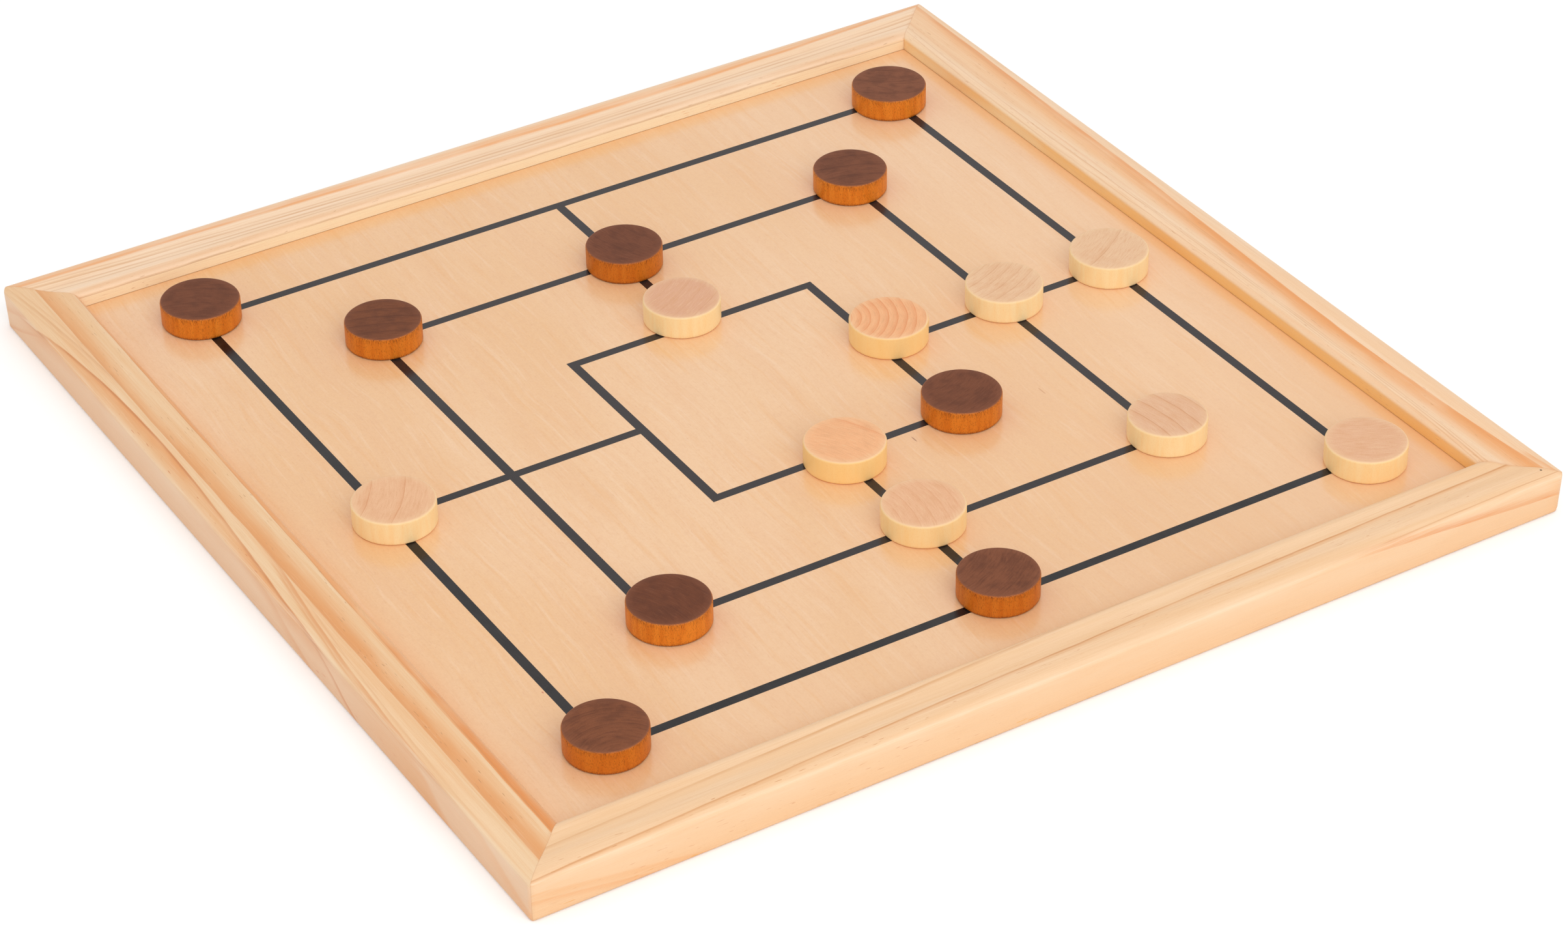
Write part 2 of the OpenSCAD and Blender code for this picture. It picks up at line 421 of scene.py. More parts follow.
# %% The pine finish
def pine(name, seed, creams, wall, side, lines, rays, dashes, knots=()):
    """Streaked cream wood, then growth lines, rays, resin dashes and knots, the joint, pale edges
    with a painted highlight, and a darker foot.

    A growth line shows where girth, swayed a little by noise, meets its course.
    """
    f = Finish(name)
    along, depth, height = f.parts(f.vector("wood"))
    girth, rubbed = f.number("girth"), f.number("rubbed")
    moved = f.joined(along, girth, depth + height + seed * 100.0)
    slow = f.clouds(moved, (0.012, 0.03, 0.03), 1.0) - 0.5
    ripple = f.clouds(moved, (0.05, 0.12, 0.12)) - 0.5
    fibre = f.clouds(moved, (0.06, 3.2, 2.0), 4.0, 0.62)
    streak = f.clouds(moved, (0.016, 0.8, 0.5), 3.0)
    broad = f.clouds(moved, (0.012, 0.12, 0.1))
    patch = f.clouds(moved, (0.03, 0.1, 0.1))
    grain = f.clouds(moved, (1.6, 3.6, 3.6), 2.0, 0.6)
    resin = f.fade(f.clouds(moved, (0.22, 2.0, 1.0), 1.0), 0.69, 0.76)

    # The wood between the lines, the outer side and the tray wall.
    colour = f.layers(f.blend(f.fade(streak, 0.3, 0.7), creams[0], creams[1]), [
        (f.fade(broad, 0.42, 0.66) * 0.55, creams[2]),
        (f.fade(girth, 0.5, -0.7) * 0.85, side),
        (f.fade(girth, RAIL_W - 0.4, RAIL_W + 0.3), wall),
    ])
    # The growth lines, stronger in some patches than in others.
    t, place = along / HALF, girth + slow * 1.3 + ripple * 0.7 + (fibre - 0.5) * 0.35
    uneven = f.fade(patch, 0.3, 0.6) * 0.5 + 0.5
    for numbers, outer, inner, shade, share, reach in lines:
        line = grown(f, place - course(t, numbers), outer, inner) * uneven * share
        if reach:
            line = line * within(f, along, *reach)
        colour = f.blend(line, colour, shade)
    # The slanting rays on the outer side.
    on_side = f.fade(girth, 0.15, -0.1)
    for start, slope, wide, shade, share in rays:
        off = along + girth * slope - start + slow * 12.0 + ripple * 4.0
        ray = grown(f, off, wide * 1.6, wide * 0.5) * on_side * share
        colour = f.blend(ray, colour, shade)
    # Fibres, resin dashes and knots.
    colour = f.layers(colour, [
        (f.fade(fibre, 0.5, 0.76) * 0.42, (228, 172, 118)),
        (f.fade(fibre, 0.46, 0.28) * 0.25, (255, 228, 194)),
        (f.fade(grain, 0.52, 0.7) * 0.13, (216, 160, 116)),
    ])
    for share, shade, low, high, left, right in dashes:
        strip = resin * within(f, girth, low, high, 0.8) * within(f, along, left, right, 30.0)
        colour = f.blend(strip * share, colour, shade)
    for spot, level, radius, shade in knots:
        reach = apart(along - spot, girth - level)
        colour = f.blend(f.fade(reach, radius, radius * 0.4) * 0.85, colour, shade)
    # Pale edges, a painted highlight along both arrises with some wear, the joint's dark hair and
    # its varnish, and a darker band along the foot.
    joint = (HALF - depth) - abs(along)
    colour = f.layers(colour, [
        (rubbed * f.fade(fibre + patch * 0.5, 0.55, 0.95) * 0.55, (254, 230, 200)),
        (f.fade(joint, 0.35, 0.04) * 0.2, (176, 118, 78)),
        (f.fade(joint, 2.2, 0.2) * f.fade(patch, 0.45, 0.6) * 0.22, (226, 160, 104)),
        # Darker towards the foot, where the rail stands on the floor.
        (f.fade(height, 1.4, 0.2) * f.fade(grain + patch, 0.85, 1.15) * 0.35, (176, 130, 92)),
    ])
    rough = 0.38 + fibre * 0.14 - rubbed * 0.05
    relief = fibre * 0.6 + streak * 0.3 + grain * 0.15
    return f.surface(colour, rough, relief, 0.2, 0.00025, IOR=1.45, Specular_IOR_Level=0.4)


print("girth runs from", OUTER_ROUND[1] - RAIL_H, "to", RAIL_W + TRAY - INNER_ROUND[1])

# %% [markdown]
# Every rail comes from its own board, so each has its own courses. Each row of
# lines gives the course over the rail's length (from -1 to 1), the two widths,
# the colour, the strength, and where a line doesn't run the whole length, its
# two ends and how softly it ends. The rows of rays give slanting marks on the
# side, where the saw crossed the rings at a steep angle: where each meets the
# edge, its slope, its width, its colour and its strength. The rows of dashes give
# the strength and colour of short resin marks, and the strip of girth and of
# length that they keep to. A knot has its place, its radius and its colour.

# %% The four boards
rail_woods = {
    "rail_front": pine(
        "pine_front", seed=1.3, creams=((248, 209, 168), (243, 203, 160), (244, 198, 149)),
        wall=(250, 212, 160), side=(243, 197, 150), lines=[
            ((8.1, 19.6), 1.6, 0.35, (222, 168, 116), 0.85, None),
            ((8.1, 20.9), 0.6, 0.3, (226, 176, 126), 0.3, (-20, 70, 30)),
            ((-0.5, -1.5, 7.4, 9.4), 2.2, 0.4, (234, 176, 122), 0.85, None),
            ((-0.5, -1.5, 7.4, 9.35), 0.7, 0.25, (206, 142, 90), 0.75, None),
            ((-0.5, -1.5, 7.4, 8.0), 0.5, 0.4, (228, 176, 130), 0.3, (-150, 120, 60)),
            ((3.44, -1.16), 0.45, 0.25, (216, 158, 110), 0.7, (118, 210, 16)),
            ((-15.0, 8.6), 0.4, 3.4, (232, 150, 84), 1.0, (116, 230, 36)),
            ((4.0,), 2.5, 2.5, (238, 190, 140), 0.3, (-260, 60, 60)),
        ], rays=[
            (-222, 6.4, 14.0, (240, 174, 112), 0.45), (-240, 6.4, 9.0, (238, 166, 104), 0.45),
            (197, 0.3, 5.0, (246, 184, 124), 0.6),
        ], dashes=[
            (0.75, (206, 140, 90), 1.0, 6.0, -200, -40),
            (0.5, (210, 150, 104), 4.0, 14.0, -40, 190),
            (0.6, (214, 140, 92), -12.0, -2.0, -190, -30),
            (0.75, (240, 170, 60), -13.6, -11.0, -200, 180),
        ], knots=[(192.8, 5.2, 0.6, (104, 80, 60))]),
    "rail_right": pine(
        "pine_right", seed=2.7, creams=((252, 217, 181), (248, 210, 170), (248, 202, 156)),
        # The tray wall's deep orange is partly painted shade: the colour this wall takes in shade.
        wall=(253, 200, 124), side=(248, 205, 163), lines=[
            ((-3.3, 4.17, 0.66, -5.07, 7.2), 0.5, 9.0, (244, 174, 112), 0.85, None),
            ((-3.3, 4.17, 0.66, -5.07, 7.2), 0.35, 2.6, (234, 156, 96), 0.65, None),
            ((-3.3, 4.17, 0.66, -5.07, 7.2), 0.5, 9.0, (240, 162, 94), 0.55, (-260, 30, 140)),
            ((25.0, 27.5), 0.5, 5.0, (240, 170, 108), 0.8, (-220, -184, 8)),
            ((20.0,), 1.6, 1.4, (242, 184, 132), 0.35, (-240, -60, 80)),
            ((24.6,), 6.0, 6.0, (255, 228, 178), 0.85, (50, 320, 120)),
            ((-1.9, -4.4, 9.8), 0.5, 1.8, (230, 166, 112), 0.4, (-60, 190, 50)),
            ((0.5, -5.3, 0.5, 2.15, 17.7), 0.5, 0.4, (214, 158, 108), 0.5, None),
            ((0.5, -5.3, 0.5, 2.15, 18.8), 0.35, 0.3, (218, 164, 114), 0.5, (-200, -60, 50)),
            ((0.5, -5.3, 0.5, 2.15, 16.6), 0.35, 0.5, (222, 168, 118), 0.5, (-200, 30, 60)),
            ((0.5, -5.3, 0.5, 2.15, 19.9), 0.3, 0.3, (216, 162, 114), 0.45, (-60, 200, 60)),
            ((0.5, -5.3, 0.5, 2.15, 14.9), 0.4, 0.8, (232, 172, 122), 0.4, (20, 220, 60)),
            ((-2.0, 15.6), 2.0, 1.2, (236, 180, 130), 0.5, (100, 210, 50)),
        ], rays=[(60, 2.4, 5.0, (236, 184, 134), 0.4)], dashes=[
            (0.5, (204, 146, 98), 8.0, 21.0, -190, 190),
            (0.6, (190, 120, 60), 22.0, 25.0, -180, -100),
        ]),
    "rail_back": pine(
        "pine_back", seed=4.1, creams=((255, 224, 193), (251, 217, 181), (252, 212, 171)),
        wall=(255, 234, 196), side=(248, 208, 170), lines=[
            ((2.8, -3.8, -1.6, 7.9), 3.0, 1.3, (246, 174, 114), 0.95, None),
            ((2.8, -3.8, -1.6, 5.6), 3.2, 1.2, (248, 188, 134), 0.7, None),
            ((-4.6, -1.0, 14.0), 1.4, 0.4, (226, 176, 130), 0.8, None),
            ((-4.6, -1.0, 12.2), 0.9, 0.4, (230, 182, 138), 0.6, None),
            ((-4.0, -1.0, 16.4), 1.2, 0.4, (228, 180, 136), 0.7, None),
            ((-3.4, -1.6, 18.6), 0.8, 0.3, (222, 174, 128), 0.7, (0, 220, 60)),
            ((0.0, 21.6), 0.35, 0.2, (184, 140, 96), 0.6, None),
            ((19.8,), 2.2, 1.8, (236, 188, 144), 0.7, None),
        ], rays=[(-40, 3.0, 6.0, (240, 190, 140), 0.4)], dashes=[
            (0.55, (190, 140, 92), 19.0, 21.6, -200, 200),
            (0.7, (226, 150, 76), 22.0, 25.0, -130, -70),
            (0.8, (196, 128, 66), 22.5, 26.0, 130, 165),
        ]),
    "rail_left": pine(
        "pine_left", seed=5.9, creams=((244, 208, 166), (240, 198, 151), (241, 188, 136)),
        # The tray wall's deep orange, as on the right rail, is partly painted shade.
        wall=(250, 196, 126), side=(243, 197, 158), lines=[
            # The wide orange bands over the cove and over the inner round are partly grain and
            # partly painted shade, the deep orange that these slopes take in shade.
            ((-1.04, 8.7), 0.3, 8.0, (233, 165, 104), 0.9, None),
            ((-1.5, 9.4), 1.0, 7.0, (232, 160, 98), 0.75, (50, 240, 80)),
            ((-1.04, 8.7), 0.25, 1.6, (222, 156, 102), 0.5, None),
            ((0.4, -1.65, 18.7), 0.3, 7.5, (236, 158, 92), 0.82, None),
            ((0.4, -1.65, 18.3), 0.6, 6.0, (228, 142, 72), 0.9, (70, 280, 60)),
            ((-1.04, 9.4), 1.4, 8.0, (230, 156, 92), 0.5, (-40, 280, 80)),
            # A pale line along the outer round: a painted highlight.
            ((3.0,), 2.0, 2.5, (252, 222, 184), 0.4, (60, 260, 60)),
            ((0.4, -1.65, 18.6), 0.25, 0.45, (206, 142, 92), 0.5, None),
            ((9.1, 25.2, -5.4, -12.25, 3.6), 8.0, 0.35, (233, 160, 98), 0.95, (-178, 64, 26)),
            ((9.1, 25.2, -5.4, -12.25, 3.5), 1.0, 0.3, (204, 130, 78), 0.85, (-178, 64, 26)),
            ((16.2, -25.4, 10.1), 2.2, 0.35, (226, 158, 102), 0.8, (10, 150, 30)),
            ((16.2, -25.4, 8.6), 1.2, 0.35, (228, 164, 108), 0.65, (10, 140, 30)),
            ((16.2, -25.4, 11.6), 0.9, 0.35, (228, 174, 124), 0.5, (40, 160, 30)),
            ((-20.0, -11.4, 9.7), 1.4, 0.4, (222, 168, 118), 0.6, (-215, -115, 30)),
            ((-20.0, -11.4, 8.0), 1.0, 0.4, (228, 176, 126), 0.5, (-215, -130, 30)),
            ((-20.0, -11.4, 11.4), 1.0, 0.4, (228, 176, 126), 0.4, (-215, -140, 30)),
        ], rays=[
            (57, 2.24, 3.2, (224, 150, 98), 0.8), (18, 2.6, 9.0, (234, 168, 114), 0.55),
            (120, 2.0, 14.0, (238, 172, 116), 0.6), (166, 3.0, 12.0, (240, 176, 120), 0.55),
            (110, 2.0, 34.0, (236, 170, 110), 0.6),
            (-178, -3.0, 6.0, (232, 164, 112), 0.55), (-160, -2.6, 3.0, (230, 160, 108), 0.5),
        ], dashes=[
            (0.6, (150, 104, 64), 8.5, 14.0, 50, 170),
            (0.85, (208, 120, 70), 0.2, 3.2, -110, 20),
            (0.5, (190, 140, 96), 9.0, 20.0, -190, 60),
            (0.7, (222, 132, 90), -13.6, -8.0, 30, 110),
        ]),
}
print("pines:", sorted(rail_woods))

# %% Put the rails in place
# The pale edges are a painted highlight on both arrises, together with handling wear.
PALE_EDGE_IN = 0.4    # Handling rubs the two edges pale, this far in from side and wall, in mm.
for name, (turn, rounds) in rails.items():
    points, wood, rows = rail_surface(turn, rounds)
    columns = len(profile)
    ring = list(range(columns))
    caps = [ring, [(rows - 1) * columns + k for k in reversed(ring)]]
    faces, volume = outward(points, band_faces(rows, columns)[:, ::-1].tolist() + caps)
    # Girth is the depth, run on down the outer side and down the tray wall.
    depth, height = wood[:, 1], wood[:, 2]
    outer_half = depth < RAIL_W / 2
    shoulder = np.where(outer_half, RAIL_H - OUTER_ROUND[1], RAIL_H - INNER_ROUND[1])
    girth = depth + np.where(outer_half, -1, 1) * np.maximum(shoulder - height, 0)
    # Pale edges: a painted highlight along the outer and the inner arris, with wear.
    rubbed = bell(girth, PALE_EDGE_IN, 0.7) + 0.7 * bell(girth, RAIL_W - PALE_EDGE_IN, 0.5)
    notes = {"wood": wood, "girth": girth, "rubbed": rubbed}
    put(name + "_moulded", points, faces, rail_woods[name], name, "pine_rail", "board", notes)
    print(name, "volume", round(volume * 1e6, 1), "cm3, faces", len(faces))

# %% [markdown]
# ## The men
# A man is sawn off a round dowel, so both faces are end grain, where the growth
# rings show as arcs, and the side is long grain, with short flecks that run up
# and down. Tumbling rubs the edges round. The surface is a profile turned
# round the man's own middle, and each man keeps a note of where the heart of
# its tree was, which sets its arcs.

# %% One man as a turned surface
# In mm: a man's radius, height and rubbed edge, and how uneven its edge is.
MAN_R, MAN_H, MAN_ROUND, UNEVEN = 14.4, 9.0, 0.8, 0.03
MAN_POINTS = 144


def man_surface(seed, share):
    """Points of a man in mm, how flat each lies, and the number of rows.

    A profile of radius and height is turned round the middle: radius times
    cosine and sine. Waves of 2 to 10 to the turn, each with its own strength,
    take a hair off the radius near the edge. One point closes each face at its
    middle, and the whole is share times as wide.
    """
    chance = np.random.default_rng(seed)
    flat_r, rounding = MAN_R - MAN_ROUND, (MAN_ROUND, MAN_ROUND)
    inwards = np.linspace(0.15, 1, 6)[:-1, None] * [flat_r, 0]
    outline = np.concatenate([
        inwards + [0, MAN_H],
        bow((flat_r, MAN_H - MAN_ROUND), rounding, 90, 0, 8),
        [[MAN_R, height] for height in np.linspace(MAN_H - MAN_ROUND, MAN_ROUND, 5)[1:-1]],
        bow((flat_r, MAN_ROUND), rounding, 0, -90, 8),
        inwards[::-1],
    ])
    slope = np.gradient(outline, axis=0)
    flat = (slope[:, 0] / np.linalg.norm(slope, axis=1)) ** 2
    angle = np.linspace(0, 2 * np.pi, MAN_POINTS, endpoint=False)
    order = np.arange(2, 11)
    waves = chance.normal(0, 1, (2, len(order))) / order
    turns = order[:, None] * angle
    uneven = UNEVEN * np.abs(waves[0] @ np.cos(turns) + waves[1] @ np.sin(turns))
    radius = outline[:, :1] - bell(outline[:, :1], MAN_R, 1.2) * uneven
    height = np.repeat(outline[:, 1:], MAN_POINTS, 1)
    band = np.stack([radius * np.cos(angle), radius * np.sin(angle), height], -1)
    local = np.concatenate([band.reshape(-1, 3), [[0, 0, MAN_H], [0, 0, 0]]]) * [share, share, 1]
    return local, np.concatenate([np.repeat(flat, MAN_POINTS), [1, 1]]), len(outline)


def man_faces(rows):
    """The band of the turned surface, and the two fans that close it at its middle points."""
    here = np.arange(MAN_POINTS)
    beside = (here + 1) % MAN_POINTS
    last, middle = (rows - 1) * MAN_POINTS, np.full(MAN_POINTS, rows * MAN_POINTS)
    top = np.stack([middle, here, beside], 1)
    foot = np.stack([middle + 1, last + beside, last + here], 1)
    return band_faces(rows, MAN_POINTS)[:, ::-1].tolist() + top.tolist() + foot.tolist()


print("points on a man:", len(man_surface(1, 1.0)[0]))

# %% [markdown]
# Both sets share one recipe. The rings are circles round the heart of the tree,
# so their number is a distance. The note grain is turned so that the heart lies
# on one axis, which also gives the direction along the rings. The end grain
# drinks more stain than the side, which is why the dark men have brown faces
# and orange sides, and the stain creeps down the side in short black flecks.

# %% The two woods of the men
def man_wood(name, faces, rings, sides, rim, fleck, fleck_share, creep,
             rough_face, rough_side, specular, mottle):
    """End grain on the faces, in three tones by the man's own shares, and long grain on the side.

    The gap to the next ring is one less the fraction of (distance from the
    heart over the rings' spacing, plus where they start), times the spacing.
    """
    f = Finish(name)
    grain = f.vector("grain")
    heartward, sideways, height = f.parts(grain)
    second, third, strength = f.parts(f.vector("tone"))
    spacing, phase, deeper = f.parts(f.vector("years"))
    endgrain, edge = f.number("endgrain"), f.number("rim")
    away = apart(heartward, sideways) + (f.clouds(grain, (0.09, 0.09, 0.09)) - 0.5)
    gap = (1.0 - f.math("FRACT", away / spacing + phase)) * spacing
    fine = f.fade(gap, 0.5, 0.16) * f.fade(gap, 0.0, 0.1)
    halo = f.fade(gap, 2.4, 0.2)
    cell = f.clouds(grain, (3.0, 3.0, 3.0), 3.0, 0.65)
    cloud = f.clouds(grain, (0.16, 0.16, 0.16), 3.0, 0.55)
    fibre = f.clouds(f.joined(away, sideways, height), (1.7, 0.2, 0.2), 3.0, 0.6)
    long_grain = f.clouds(grain, (0.5, 0.5, 0.06), 3.0, 0.6)
    short = f.clouds(grain, (5.2, 5.2, 1.3), 2.0, 0.65)
    speck = f.clouds(grain, (3.2, 3.2, 1.6), 1.0)
    streaks = f.clouds(grain, (5.0, 5.0, 0.5), 2.0, 0.6)

    # The faces: three tones, clouds and fibres, then the rings and the pores.
    broken = f.fade(fibre + cloud, 0.7, 1.1) * 0.4 + 0.6
    face = f.layers(f.blend(second, faces[0], faces[1]), [
        (third, faces[2]),
        (f.fade(cloud, 0.42, 0.66) * mottle, rings[0]),
        (f.fade(fibre, 0.48, 0.72) * 0.5, rings[0]),
        (f.fade(fibre, 0.48, 0.28) * 0.3, rim),
        (halo * strength * 0.75, f.blend(third, rings[0], rings[2])),
        (fine * strength * broken, f.blend(third, rings[1], rings[2])),
        (f.fade(cell, 0.5, 0.68) * 0.26, rings[1]),
        (f.fade(cell, 0.46, 0.3) * 0.16, rim),
    ])
    # The side: two tones in streaks, flecks, the stain from the face, and painted shade at the
    # foot.
    long_mix = f.fade(long_grain, 0.3, 0.7) * 0.7 + speck * 0.3
    bled = f.fade(height, MAN_H - 3.2, MAN_H - 0.5) * f.fade(streaks, 0.5, 0.66)
    # Darker at the foot: painted shade where the man stands on the board.
    foot_shade = f.fade(height, 1.5, 0.3) * f.fade(speck, 0.3, 0.6)
    # The sides' colours are more saturated than the faces' partly for the long grain and partly as
    # painted bounce light, the warm light the board throws onto them.
    side = f.layers(f.blend(long_mix, sides[0], sides[1]), [
        (deeper, sides[2]),
        (f.fade(short, 0.52, 0.72) * fleck_share, fleck),
        (bled * creep, fleck),
        (foot_shade * (creep * 0.6 + 0.12), fleck),
    ])
    # The pale rim at the top edge is a painted highlight on the rounded edge, with its wear.
    colour = f.layers(side, [
        (f.fade(endgrain, 0.45, 0.8), face),
        (edge * f.fade(cell, 0.25, 0.5) * 0.75, rim),
    ])
    rough = endgrain * (rough_face - rough_side) + rough_side + cell * 0.12
    relief = cell * 0.4 * endgrain + short * 0.35 + fibre * 0.3 * endgrain
    return f.surface(colour, rough, relief, 0.22, 0.0002, IOR=1.45, Specular_IOR_Level=specular)


# The side colours hold painted bounce light from the board as well as the wood's own colour.
light_wood = man_wood(
    "light_man_wood", faces=((240, 199, 159), (226, 171, 138), (252, 181, 126)),
    rings=((224, 166, 120), (198, 132, 88), (236, 142, 84)),
    sides=((255, 230, 179), (255, 219, 159), (255, 206, 124)),
    rim=(249, 213, 168), fleck=(240, 178, 112), fleck_share=0.26, creep=0.1,
    rough_face=0.5, rough_side=0.34, specular=0.35, mottle=0.2)
dark_wood = man_wood(
    "dark_man_wood", faces=((109, 58, 34), (135, 80, 54), (130, 72, 34)),
    rings=((88, 46, 28), (66, 32, 20), (92, 46, 22)),
    sides=((233, 139, 42), (211, 113, 24), (170, 82, 12)),
    rim=(140, 86, 60), fleck=(84, 36, 10), fleck_share=0.6, creep=0.9,
    rough_face=0.5, rough_side=0.36, specular=0.25, mottle=0.4)
print("woods of the men:", light_wood.name, dark_wood.name)

# %% [markdown]
# The men stand on the points of the pattern, each a little off it, as the
# player's hand left it. Each row says which square, the steps from its middle,
# and the nudge. After that come its width against the others, for dowels vary
# by a hair, then the distance and direction of the tree's heart,
# the gap between two rings and where they start, then the shares of the second
# and third tone, the strength of the rings, and how deep the side's colour is.

# %% The eighteen men
# The print's middle against the frame's, and half the width of each square, in mm.
PRINT_SHIFT, SQUARES = (3.2, -1.1), (49.25, 100.75, 148.5)
# Square, steps right and back, nudge right and back, width, heart's distance and
# direction, rings' gap and start, second and third tone, rings' strength, side.
dark_men = [
    (2, 1, 1, -2, -2.5, 1.005, 34, 60, 9.0, 0.3, 0.95, 0.1, 0.25, 0.0),
    (1, 1, 1, -1.5, -1, 0.97, 60, 250, 7.0, 0.2, 0.6, 0.1, 0.35, 0.0),
    (1, 0, 1, 0, -2.5, 0.985, 50, 20, 12.0, 0.5, 0.35, 0.0, 0.15, 0.4),
    (2, -1, 1, 1, 0, 1.005, 40, 240, 9.5, 0.05, 0.3, 0.1, 0.3, 0.1),
    (1, -1, 1, 2.5, -0.5, 0.97, 70, 245, 5.0, 0.6, 0.3, 0.4, 0.4, 0.15),
    (0, 1, -1, 0.5, -1.5, 0.99, 44, 110, 14.0, 0.3, 0.4, 0.1, 0.1, 0.15),
    (1, -1, -1, 3, -0.5, 0.995, 36, 200, 13.0, 0.4, 0.0, 0.1, 0.15, 0.0),
    (2, 0, -1, 0.5, 2, 0.97, 60, 120, 9.0, 0.5, 0.75, 0.2, 0.15, 0.42),
    (2, -1, -1, 0.5, 0.5, 0.975, 18, 255, 8.0, 0.7, 0.8, 0.4, 0.25, 0.35),
]
light_men = [
    (0, 0, 1, -1, 5.5, 0.98, 90, 121, 6.0, 0.3, 0.9, 0.0, 0.2, 0.05),
    (0, 1, 0, 5, 3, 0.995, 22, 148, 3.3, 0.25, 0.1, 0.8, 0.55, 0.6),
    (1, 1, 0, 1.5, 0.5, 0.985, 70, 113, 4.2, 0.1, 0.1, 0.0, 0.28, 0.0),
    (2, 1, 0, -1, -1, 1.01, 90, 121, 30.0, 0.0, 0.1, 0.0, 0.4, 0.0),
    (1, 1, -1, 0.5, -0.5, 0.97, 70, 186, 6.4, 0.2, 0.5, 0.0, 0.55, 0.05),
    (2, 1, -1, 0.5, -2, 0.995, 66, 60, 9.0, 0.6, 0.6, 0.1, 0.12, 0.2),
    (0, 0, -1, -0.5, -5, 1.005, 60, 205, 25.0, 0.2, 0.2, 0.75, 0.4, 0.65),
    (1, 0, -1, 1.5, 0.5, 1.01, 50, 174, 5.2, 0.4, 0.5, 0.25, 0.22, 0.3),
    (2, -1, 0, 1.5, -2.5, 1.01, 80, 143, 11.4, 0.71, 0.35, 0.25, 0.45, 0.0),
]
print("dark men:", len(dark_men), "light men:", len(light_men))

# %% Put the men in place
# The pale rim round each top is a painted highlight on the rounded edge, with its wear. Its middle
# is this far in from the edge and below the top, in mm.
RIM_IN, RIM_BELOW, RIM_WIDTH = 0.45, 0.15, 0.4
for label, first_seed, wood, men in (
        ("dark_man", 0, dark_wood, dark_men), ("light_man", 20, light_wood, light_men)):
    for number, row in enumerate(men, 1):
        square, right, back, nudge_x, nudge_y, share, heart, direction, *looks = row
        gap, start, second, third, strength, deeper = looks
        centre = [PRINT_SHIFT[0] + SQUARES[square] * right + nudge_x,
                  PRINT_SHIFT[1] + SQUARES[square] * back + nudge_y, PANEL_TOP]
        local, flat, rows = man_surface(first_seed + number, share)
        points = mm(local + centre)
        faces, volume = outward(points, man_faces(rows))
        x, y, height = local.T
        spread = np.hypot(x, y) / share
        cosine, sine = np.cos(np.radians(direction)), np.sin(np.radians(direction))
        # Where the painted highlight of the rim lies.
        rim = bell(spread, MAN_R - RIM_IN, RIM_WIDTH) * bell(height, MAN_H - RIM_BELOW, RIM_WIDTH)
        notes = {
            "grain": np.stack([heart - (x * cosine + y * sine), y * cosine - x * sine, height], 1),
            "endgrain": flat,
            "rim": rim,
            "tone": np.tile([second, third, strength], (len(local), 1)),
            "years": np.tile([gap, start, deeper], (len(local), 1)),
        }
        node = f"{label}_{number}"
        put(node + "_turned", points, faces, wood, node, label + "_wood", node + "_body", notes,
            sharp=40)
    print(label, "volume of the last", round(volume * 1e9), "mm3")

# %% [markdown]
# ## The playing panel
# The panel is thin plywood with a birch veneer, peeled off the log like paper
# off a roll. Peeled veneer has no hard lines: it shows soft, drifting clouds
# and many short flecks along the grain, which runs from the front rail to the
# back rail. The CAD node's shape is right, so it only gets a finish.

# %% The veneer's small marks
# Each row is one mark: its place across and along the panel, how long it is
# along the grain, and its colour. They are specks and short resin lines, all
# of one width in mm.
MARK_WIDTH = 0.35
MARKS = [
    (-147.9, -113.5, 0.8, (196, 96, 70)), (-145.9, -112.3, 0.6, (206, 110, 80)),
    (30.0, -56.9, 2.2, (150, 92, 54)), (84.2, -55.8, 3.0, (214, 158, 112)),
]
print("marks on the veneer:", len(MARKS))

